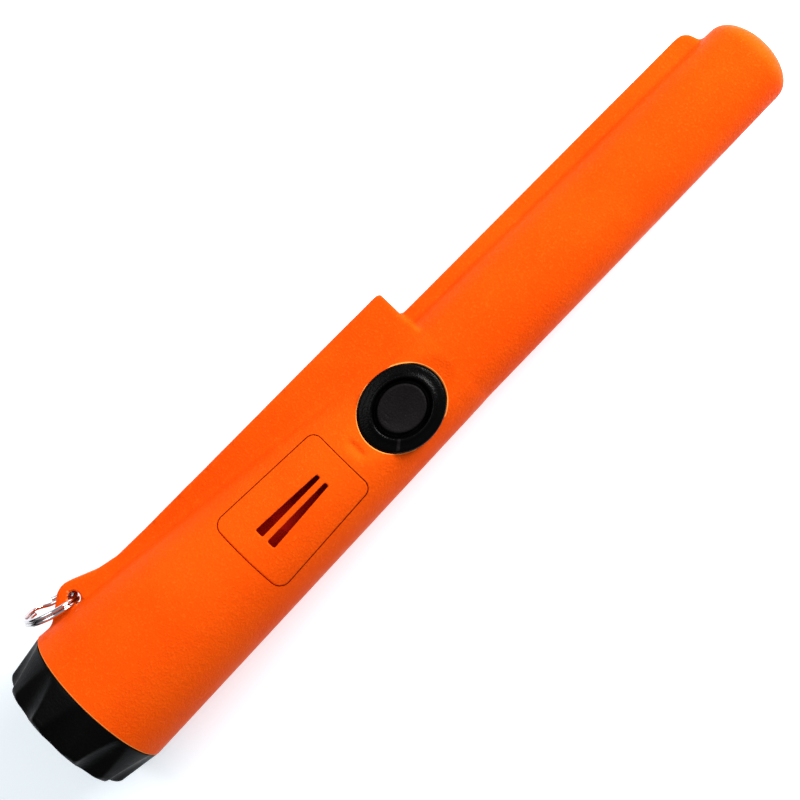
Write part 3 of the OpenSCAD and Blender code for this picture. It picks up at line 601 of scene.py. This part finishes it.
def mathNode(tree, operation, a, b=None):
    node = tree.nodes.new("ShaderNodeMath")
    node.operation = operation
    for socket, value in zip(node.inputs, (a, b)):
        if isinstance(value, (int, float)):
            socket.default_value = value
        elif value is not None:
            wire(tree, value, socket)
    return node.outputs[0]


def rangeNode(tree, value, fromLow, fromHigh, toLow=0.0, toHigh=1.0):
    node = tree.nodes.new("ShaderNodeMapRange")
    wire(tree, value, node.inputs["Value"])
    for label, number in (("From Min", fromLow), ("From Max", fromHigh), ("To Min", toLow),
                          ("To Max", toHigh)):
        if isinstance(number, (int, float)):
            node.inputs[label].default_value = number
        else:
            wire(tree, number, node.inputs[label])
    return node.outputs["Result"]


def mixNode(tree, factor, a, b):
    node = tree.nodes.new("ShaderNodeMix")
    node.data_type = "RGBA"
    for socket, value in ((node.inputs[0], factor), (node.inputs[6], a), (node.inputs[7], b)):
        if isinstance(value, (int, float, tuple)):
            socket.default_value = value
        else:
            wire(tree, value, socket)
    return node.outputs[2]


def makeGrain():                                            # moulded or cast skin: height and a speckle mask
    tree, given, out = newGroup("mould grain", [("Vector", "Vector", None), ("Scale", "Float", 1500.0)],
                                [("Height", "Float"), ("Speckle", "Float")])
    fine = noiseNode(tree, given["Vector"], given["Scale"], 2.0, 0.5)
    coarse = noiseNode(tree, given["Vector"], mathNode(tree, "MULTIPLY", given["Scale"], 0.31), 3.0, 0.6)
    wire(tree, mathNode(tree, "ADD", mathNode(tree, "MULTIPLY", fine, 0.6),
                        mathNode(tree, "MULTIPLY", coarse, 0.4)), out["Height"])
    wire(tree, rangeNode(tree, fine, 0.55, 0.75), out["Speckle"])
    return tree


def makeTone():                                             # slow drift between two colours, with mottling
    tree, given, out = newGroup("tone drift", [("Vector", "Vector", None), ("Scale", "Float", 60.0),
                                               ("Light", "Color", (1, 1, 1, 1)),
                                               ("Dark", "Color", (0, 0, 0, 1))], [("Color", "Color")])
    slow = rangeNode(tree, noiseNode(tree, given["Vector"], given["Scale"], 4.0), 0.36, 0.64)
    quick = noiseNode(tree, given["Vector"], mathNode(tree, "MULTIPLY", given["Scale"], 14.0), 3.0)
    blend = mathNode(tree, "ADD", mathNode(tree, "MULTIPLY", slow, 0.65),
                     mathNode(tree, "MULTIPLY", quick, 0.35))
    wire(tree, mixNode(tree, blend, given["Dark"], given["Light"]), out["Color"])
    return tree


def makeHandling():                                         # patches that use has polished or dulled
    tree, given, out = newGroup("handling", [("Vector", "Vector", None), ("Scale", "Float", 90.0),
                                             ("Smooth", "Float", 0.3), ("Rough", "Float", 0.5)],
                                [("Roughness", "Float")])
    patch = noiseNode(tree, given["Vector"], given["Scale"], 5.0, 0.62)
    wire(tree, rangeNode(tree, patch, 0.35, 0.65, given["Smooth"], given["Rough"]), out["Roughness"])
    return tree


def makeWearAndHighlight():                                             # convex edges that rub, broken up by noise; the paler colour there is edge wear and also a painted edge highlight
    tree, given, out = newGroup("worn edges and painted highlight", [("Vector", "Vector", None), ("From", "Float", 0.53),
                                              ("To", "Float", 0.6), ("Scale", "Float", 400.0)],
                                [("Mask", "Float")])
    sharp = tree.nodes.new("ShaderNodeNewGeometry").outputs["Pointiness"]
    edge = rangeNode(tree, sharp, given["From"], given["To"])
    broken = rangeNode(tree, noiseNode(tree, given["Vector"], given["Scale"], 3.0), 0.38, 0.6)
    wire(tree, mathNode(tree, "MULTIPLY", edge, broken), out["Mask"])
    return tree


def makeWinding():                                          # turns of wire wound side by side along X, with painted shade in the gaps between them
    tree, given, out = newGroup("winding", [("Vector", "Vector", None), ("Turns", "Float", 1200.0)],
                                [("Height", "Float"), ("Gap", "Float")])
    wave = tree.nodes.new("ShaderNodeTexWave")
    wave.wave_type = "BANDS"
    wave.bands_direction = "X"
    wire(tree, given["Vector"], wave.inputs["Vector"])
    wire(tree, given["Turns"], wave.inputs["Scale"])
    wave.inputs["Distortion"].default_value = 0.6
    wave.inputs["Detail"].default_value = 1.0
    wire(tree, wave.outputs["Fac"], out["Height"])
    wire(tree, rangeNode(tree, wave.outputs["Fac"], 0.25, 0.0), out["Gap"])
    return tree


grainGroup, toneGroup, handlingGroup = makeGrain(), makeTone(), makeHandling()
wearAndHighlightGroup, windingGroup = makeWearAndHighlight(), makeWinding()


def useGroup(tree, group, vector, **values):
    node = tree.nodes.new("ShaderNodeGroup")
    node.node_tree = group
    wire(tree, vector, node.inputs["Vector"])
    for label, value in values.items():
        node.inputs[label].default_value = value
    return node.outputs


def startMaterial(name, **settings):                        # constant numbers go on the shader's own sockets
    material = bpy.data.materials.new(name)
    material.use_nodes = True
    tree = material.node_tree
    shader = tree.nodes["Principled BSDF"]
    for label, value in settings.items():
        shader.inputs[label.replace("_", " ")].default_value = value
    return material, tree, shader, tree.nodes.new("ShaderNodeTexCoord").outputs["Object"]


def addBump(tree, shader, height, depth, strength=1.0):
    node = tree.nodes.new("ShaderNodeBump")
    node.inputs["Strength"].default_value = strength
    node.inputs["Distance"].default_value = depth * mm
    wire(tree, height, node.inputs["Height"])
    if shader.inputs["Normal"].is_linked:
        wire(tree, shader.inputs["Normal"].links[0].from_socket, node.inputs["Normal"])
    wire(tree, node.outputs["Normal"], shader.inputs["Normal"])


def makeRecessShade():                                            # how far a point lies under the handle's skin, used to paint shade into the slots and the chamber
    tree, given, out = newGroup("recess shade depth", [("Vector", "Vector", None), ("From", "Float", 0.0013),
                                                     ("To", "Float", 0.0018)], [("Mask", "Float")])
    split = tree.nodes.new("ShaderNodeSeparateXYZ")
    wire(tree, given["Vector"], split.inputs[0])
    x, y, z = split.outputs[0], split.outputs[1], split.outputs[2]
    drop, taper = tube["waistDrop"] / handleLength, (tube["mouthR"] - tube["waistR"]) / handleLength
    along = mathNode(tree, "SUBTRACT", x, tube["mouthX"] * mm)
    side = mathNode(tree, "ADD", y, mathNode(tree, "MULTIPLY", along, drop))
    reach = mathNode(tree, "SQRT", mathNode(tree, "ADD", mathNode(tree, "MULTIPLY", side, side),
                                            mathNode(tree, "MULTIPLY", z, z)))
    skin = mathNode(tree, "SUBTRACT", tube["mouthR"] * mm, mathNode(tree, "MULTIPLY", along, taper))
    depth = mathNode(tree, "SUBTRACT", skin, reach)
    wire(tree, rangeNode(tree, depth, given["From"], given["To"]), out["Mask"])
    return tree


def makeRimHighlight():                                          # painted highlight: a pale line on the thin lips of the button hole and the mouth
    tree, given, out = newGroup("painted rim highlight", [("Vector", "Vector", None), ("Hole", "Float", 0.0113),
                                             ("Mouth", "Float", 0.0119)], [("Mask", "Float")])
    split = tree.nodes.new("ShaderNodeSeparateXYZ")
    wire(tree, given["Vector"], split.inputs[0])
    long = mathNode(tree, "SUBTRACT", split.outputs[0], button["x"] * mm)
    wide = mathNode(tree, "DIVIDE", mathNode(tree, "SUBTRACT", split.outputs[1], button["y"] * mm),
                    button["aspect"])
    reach = mathNode(tree, "SQRT", mathNode(tree, "ADD", mathNode(tree, "MULTIPLY", long, long),
                                            mathNode(tree, "MULTIPLY", wide, wide)))
    hole = mathNode(tree, "MULTIPLY", mathNode(tree, "LESS_THAN", reach, given["Hole"]),
                    mathNode(tree, "GREATER_THAN", split.outputs[2], 0.01))
    across = mathNode(tree, "SQRT", mathNode(tree, "ADD", mathNode(tree, "POWER", split.outputs[1], 2),
                                            mathNode(tree, "POWER", split.outputs[2], 2)))
    mouth = mathNode(tree, "MULTIPLY", mathNode(tree, "LESS_THAN", split.outputs[0], given["Mouth"]),
                     mathNode(tree, "GREATER_THAN", across, (tube["mouthR"] - 0.3) * mm))
    wire(tree, mathNode(tree, "MAXIMUM", hole, mouth), out["Mask"])
    return tree


recessShadeGroup, rimHighlightGroup = makeRecessShade(), makeRimHighlight()


def plainFinish(name, light, dark, smooth, rough, grainScale, grainDepth, toneScale=60.0, wearAndHighlight=None,
                edgeMaskFrom=0.53, edgeMaskTo=0.6, speckle=0.0, speckleColor=(1, 1, 1), recessShade=None, lip=None,
                **settings):
    material, tree, shader, place3d = startMaterial(name, **settings)
    grain = useGroup(tree, grainGroup, place3d, Scale=grainScale)
    color = useGroup(tree, toneGroup, place3d, Scale=toneScale, Light=(*light, 1), Dark=(*dark, 1))["Color"]
    if speckle:
        color = mixNode(tree, mathNode(tree, "MULTIPLY", grain["Speckle"], speckle), color,
                        (*speckleColor, 1))
    # convex edges turn paler: edge wear together with a painted edge highlight
    if wearAndHighlight:
        mask = useGroup(tree, wearAndHighlightGroup, place3d, From=edgeMaskFrom, To=edgeMaskTo)["Mask"]
        color = mixNode(tree, mask, color, (*wearAndHighlight, 1))
    # painted shade: surfaces sunk below the handle's skin turn dark red
    if recessShade:
        color = mixNode(tree, useGroup(tree, recessShadeGroup, place3d)["Mask"], color, (*recessShade, 1))
    # painted highlight: a pale orange line along the button hole's lip and the mouth rim
    if lip:
        color = mixNode(tree, useGroup(tree, rimHighlightGroup, place3d)["Mask"], color, (*lip, 1))
    wire(tree, color, shader.inputs["Base Color"])
    wire(tree, useGroup(tree, handlingGroup, place3d, Smooth=smooth, Rough=rough)["Roughness"],
         shader.inputs["Roughness"])
    addBump(tree, shader, grain["Height"], grainDepth)
    return material


# Finishes

# the dark red for surfaces below the skin is painted shade in the speaker slots and chamber
shellOrange = plainFinish("orange shell", (0.84, 0.088, 0.003), (0.78, 0.062, 0.002), 0.36, 0.5, 1900, 0.16,
                          35, (1.0, 0.32, 0.06), 0.62, 0.74, 0.3, (1.0, 0.17, 0.012),
                          (0.3, 0.006, 0.002), (1.0, 0.3, 0.06), Specular_IOR_Level=0.015,
                          Specular_Tint=(1.0, 0.4, 0.05, 1))
capBlack = plainFinish("black cap", (0.002, 0.0017, 0.0016), (0.001, 0.001, 0.001), 0.34, 0.5, 2100, 0.1,
                       70, (0.02, 0.017, 0.016), 0.6, 0.72, 0.4, (0.006, 0.005, 0.005),
                       Specular_IOR_Level=0.06)
rubberBlack = plainFinish("black rubber", (0.0012, 0.001, 0.001), (0.0007, 0.0007, 0.0007), 0.24, 0.36,
                          2300, 0.16, 90, (0.014, 0.012, 0.012), 0.6, 0.72, 0.3, (0.005, 0.004, 0.004),
                          Specular_IOR_Level=0.05)
padRubber = plainFinish("pad rubber", (0.007, 0.0056, 0.0056), (0.004, 0.0034, 0.0034), 0.42, 0.6, 2300, 0.2,
                        130, None, 0.54, 0.62, 0.5, (0.012, 0.0095, 0.01), Specular_IOR_Level=0.05)
rubberRed = plainFinish("red rubber", (0.34, 0.02, 0.014), (0.24, 0.012, 0.01), 0.35, 0.5, 2000, 0.03)
ringChrome = plainFinish("plated steel", (0.7, 0.67, 0.67), (0.5, 0.48, 0.49), 0.05, 0.13, 1500, 0.006, 200,
                         Metallic=1.0)
steelBare = plainFinish("bare steel", (0.55, 0.55, 0.56), (0.4, 0.4, 0.42), 0.25, 0.42, 1800, 0.015, 150,
                        Metallic=1.0)
brass = plainFinish("contact brass", (0.8, 0.6, 0.28), (0.62, 0.43, 0.18), 0.18, 0.34, 1600, 0.01, 180,
                    Metallic=1.0)
nylonBlack = plainFinish("black nylon", (0.02, 0.02, 0.021), (0.012, 0.012, 0.013), 0.4, 0.56, 1300, 0.04)
chipBlack = plainFinish("chip black", (0.016, 0.016, 0.017), (0.01, 0.01, 0.011), 0.45, 0.6, 3000, 0.02)
lampWhite = plainFinish("lamp body", (0.85, 0.84, 0.78), (0.74, 0.72, 0.6), 0.1, 0.22, 900, 0.008,
                        Transmission_Weight=0.35)
# painted shade: the membrane's deep red copies the shaded orange chamber seen through the speaker slots
membraneShadeRed = plainFinish("membrane", (0.6, 0.01, 0.005), (0.46, 0.008, 0.004), 0.6, 0.8, 3500, 0.03,
                           Specular_IOR_Level=0.05)
ferriteGrey = plainFinish("ferrite", (0.05, 0.048, 0.047), (0.03, 0.029, 0.029), 0.4, 0.62, 2400, 0.05)
ivory = plainFinish("ivory former", (0.72, 0.66, 0.52), (0.62, 0.56, 0.43), 0.34, 0.5, 1100, 0.02)
graphite = plainFinish("graphite sleeve", (0.045, 0.045, 0.048), (0.025, 0.025, 0.027), 0.5, 0.72, 1700,
                       0.05, 120)
foamGrey = plainFinish("grey foam", (0.2, 0.2, 0.205), (0.12, 0.12, 0.125), 0.85, 0.97, 1000, 0.25, 140)
wireFinishes = {
    name: plainFinish(name, light, dark, 0.3, 0.44, 1500, 0.012, 90)
    for name, light, dark in (("red wire", (0.5, 0.02, 0.015), (0.36, 0.014, 0.01)),
                              ("black wire", (0.02, 0.02, 0.02), (0.012, 0.012, 0.012)),
                              ("white wire", (0.75, 0.74, 0.7), (0.62, 0.61, 0.56)),
                              ("blue wire", (0.03, 0.07, 0.42), (0.02, 0.045, 0.3)))}


def makeBoardFinish():                                      # green mask over copper tracks
    material, tree, shader, place3d = startMaterial("green board")
    tracks = tree.nodes.new("ShaderNodeTexBrick")
    wire(tree, place3d, tracks.inputs["Vector"])
    tracks.inputs["Scale"].default_value = 260.0
    tracks.inputs["Mortar Size"].default_value = 0.035
    tracks.offset = 0.37
    grain = useGroup(tree, grainGroup, place3d, Scale=2200)
    green = useGroup(tree, toneGroup, place3d, Scale=80.0, Light=(0.012, 0.16, 0.05, 1),
                     Dark=(0.008, 0.1, 0.035, 1))["Color"]
    wire(tree, mixNode(tree, tracks.outputs["Fac"], green, (0.03, 0.27, 0.09, 1)),
         shader.inputs["Base Color"])
    wire(tree, useGroup(tree, handlingGroup, place3d, Smooth=0.24, Rough=0.36)["Roughness"],
         shader.inputs["Roughness"])
    addBump(tree, shader, tracks.outputs["Fac"], 0.035)
    addBump(tree, shader, grain["Height"], 0.01)
    return material


def makeJacketFinish():                                     # printed sleeve: dark body, copper-coloured band
    material, tree, shader, place3d = startMaterial("battery jacket", Metallic=0.6)
    split = tree.nodes.new("ShaderNodeSeparateXYZ")
    wire(tree, place3d, split.inputs[0])
    band = rangeNode(tree, split.outputs["X"], 0.0345, 0.0347)
    body = useGroup(tree, toneGroup, place3d, Scale=70.0, Light=(0.03, 0.03, 0.032, 1),
                    Dark=(0.018, 0.018, 0.02, 1))["Color"]
    gold = useGroup(tree, toneGroup, place3d, Scale=90.0, Light=(0.72, 0.42, 0.12, 1),
                    Dark=(0.58, 0.32, 0.08, 1))["Color"]
    wire(tree, mixNode(tree, band, body, gold), shader.inputs["Base Color"])
    wire(tree, useGroup(tree, handlingGroup, place3d, Smooth=0.2, Rough=0.36)["Roughness"],
         shader.inputs["Roughness"])
    addBump(tree, shader, useGroup(tree, grainGroup, place3d, Scale=900)["Height"], 0.02)
    return material


def makeCopperFinish():
    material, tree, shader, place3d = startMaterial("enamelled copper", Metallic=1.0, Coat_Weight=0.4,
                                                    Coat_Roughness=0.15)
    winding = useGroup(tree, windingGroup, place3d, Turns=1250.0)
    copper = useGroup(tree, toneGroup, place3d, Scale=120.0, Light=(0.66, 0.2, 0.07, 1),
                      Dark=(0.46, 0.11, 0.035, 1))["Color"]
    # painted shade: the gaps between turns are darkened
    wire(tree, mixNode(tree, winding["Gap"], copper, (0.12, 0.03, 0.012, 1)), shader.inputs["Base Color"])
    wire(tree, useGroup(tree, handlingGroup, place3d, Smooth=0.22, Rough=0.36)["Roughness"],
         shader.inputs["Roughness"])
    addBump(tree, shader, winding["Height"], 0.08)
    return material


def makeWindowFinish():
    material, tree, shader, place3d = startMaterial("clear lens", Transmission_Weight=1.0, IOR=1.49)
    wire(tree, useGroup(tree, toneGroup, place3d, Scale=100.0, Light=(0.97, 0.98, 1.0, 1),
                        Dark=(0.93, 0.95, 0.97, 1))["Color"], shader.inputs["Base Color"])
    wire(tree, useGroup(tree, handlingGroup, place3d, Smooth=0.02, Rough=0.09)["Roughness"],
         shader.inputs["Roughness"])
    addBump(tree, shader, useGroup(tree, grainGroup, place3d, Scale=700)["Height"], 0.004)
    return material


boardGreen, jacket = makeBoardFinish(), makeJacketFinish()
copper, clear = makeCopperFinish(), makeWindowFinish()


# Every piece gets its finish, and each new piece its body

def dress(obj, material):
    obj.data.materials.clear()
    obj.data.materials.append(material)


newPieces = [
    (housing, shellOrange, "root", "orange_shell", ["housing"]),
    (panel, shellOrange, "root", "orange_shell", ["speaker_cover"]),
    (rubberRim, rubberBlack, "root", "black_rubber", ["button_collar"]),
    (rubberTop, padRubber, "button", "black_rubber", ["button_pad"]),
    (lid, capBlack, "cap", "black_cap", ["battery_cap"]),
    (keyRing, ringChrome, "ring", "plated_steel", ["split_ring"]),
    (window, clear, "root", "clear_lens", ["lamp_lens"]),
    (lidFoam, foamGrey, "cap", "gray_foam", ["cap_cushion"]),
    (tipFoam, foamGrey, "root", "gray_foam", ["tip_cushion"]),
    (speakerFoam, foamGrey, "root", "gray_foam", ["speaker_gasket"]),
]
for obj, material, body, slotName, replaced in newPieces:
    dress(obj, material)
    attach(obj, body)
    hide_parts(*replaced)

nodeFinishes = [
    (membraneShadeRed, ["speaker_membrane"]), (steelBare, ["speaker", "tact_switch", "board_screws",
                                                        "capacitors", "motor_weight"]),
    (rubberBlack, ["lens_seal", "motor_cradle"]), (chipBlack, ["switch_stem", "processor", "amplifier"]),
    (rubberRed, ["cap_o_ring"]), (jacket, ["battery"]), (ringChrome, ["battery_terminals",
                                                                      "vibration_motor"]),
    (nylonBlack, ["battery_cradle", "chassis"]), (boardGreen, ["contact_plate", "lamp_board",
                                                               "circuit_board"]),
    (brass, ["contact_leaves"]), (lampWhite, ["lamp_led"]), (ferriteGrey, ["ferrite_rod"]),
    (ivory, ["coil_former"]), (copper, ["transmit_coil", "receive_coils", "coil_leads"]),
    (graphite, ["coil_shield"]), (wireFinishes["red wire"], ["battery_leads"]),
    (wireFinishes["black wire"], ["speaker_leads"]), (wireFinishes["white wire"], ["lamp_leads"]),
    (wireFinishes["blue wire"], ["motor_leads"])]
for material, names in nodeFinishes:
    for name in names:
        dress(nodes[name], material)
print("finishes done")


# Floor, lights and camera

floorFit = dict(size=6, capR=19.5, z=-19.55)                # it lies just under the cap's rim and the tip


def makeFloor():
    tilt = atan2(floorFit["capR"] - tube["tipR"], tube["domeX"] - tube["mouthX"])
    clearPick()
    bpy.ops.mesh.primitive_plane_add(size=floorFit["size"])
    floor = bpy.context.object
    floor.name = "floor"
    place(floor, Matrix.Translation((tube["mouthX"] * mm, 0, floorFit["z"] * mm))
          @ Matrix.Rotation(-tilt, 4, "Y"))
    material, tree, shader, place3d = startMaterial("floor", Specular_IOR_Level=0.1, Emission_Strength=0.36)
    shader.inputs["Emission Color"].default_value = (0.8, 0.94, 1.0, 1)
    wire(tree, useGroup(tree, toneGroup, place3d, Scale=6.0, Light=(0.93, 0.95, 0.97, 1),
                        Dark=(0.91, 0.93, 0.955, 1))["Color"], shader.inputs["Base Color"])
    shader.inputs["Roughness"].default_value = 0.7
    dress(floor, material)


def addLight(name, spot, target, width, height, power):
    clearPick()
    bpy.ops.object.light_add(type="AREA", location=spot)
    light = bpy.context.object
    light.name = name
    light.data.shape = "RECTANGLE"
    light.data.size = width
    light.data.size_y = height
    light.data.energy = power
    light.rotation_euler = (Vector(target) - Vector(spot)).to_track_quat("-Z", "Y").to_euler()


makeFloor()
middle = (0.11, 0.0, 0.0)
for settings in (dict(name="key", spot=(0.66, 0.02, 0.27), width=0.26, height=0.2, power=7.4),
                 dict(name="soft", spot=(0.02, 0.36, 0.5), width=0.36, height=0.36, power=1.7)):
    addLight(target=middle, **settings)


def makeWorld():                                            # pale above, with a dark band along the horizon
    world = bpy.data.worlds.new("studio")
    world.use_nodes = True
    tree = world.node_tree
    split = tree.nodes.new("ShaderNodeSeparateXYZ")
    wire(tree, tree.nodes.new("ShaderNodeTexCoord").outputs["Generated"], split.inputs[0])
    height = rangeNode(tree, split.outputs[2], 0.3, 0.6)
    background = tree.nodes["Background"]
    wire(tree, mixNode(tree, height, (0.04, 0.035, 0.035, 1), (0.93, 0.95, 1.0, 1)),
         background.inputs["Color"])
    background.inputs["Strength"].default_value = 0.4
    return world


bpy.context.scene.world = makeWorld()
bpy.context.scene.view_settings.view_transform = "Standard"

clearPick()
bpy.ops.object.camera_add(location=(0.110, -0.0022, 0.400), rotation=(0, 0, radians(-45.7)))
camera = bpy.context.object
camera.data.lens = 77.04
camera.data.sensor_width = 36
camera.data.clip_start = 0.01
bpy.context.scene.camera = camera
print("studio done")
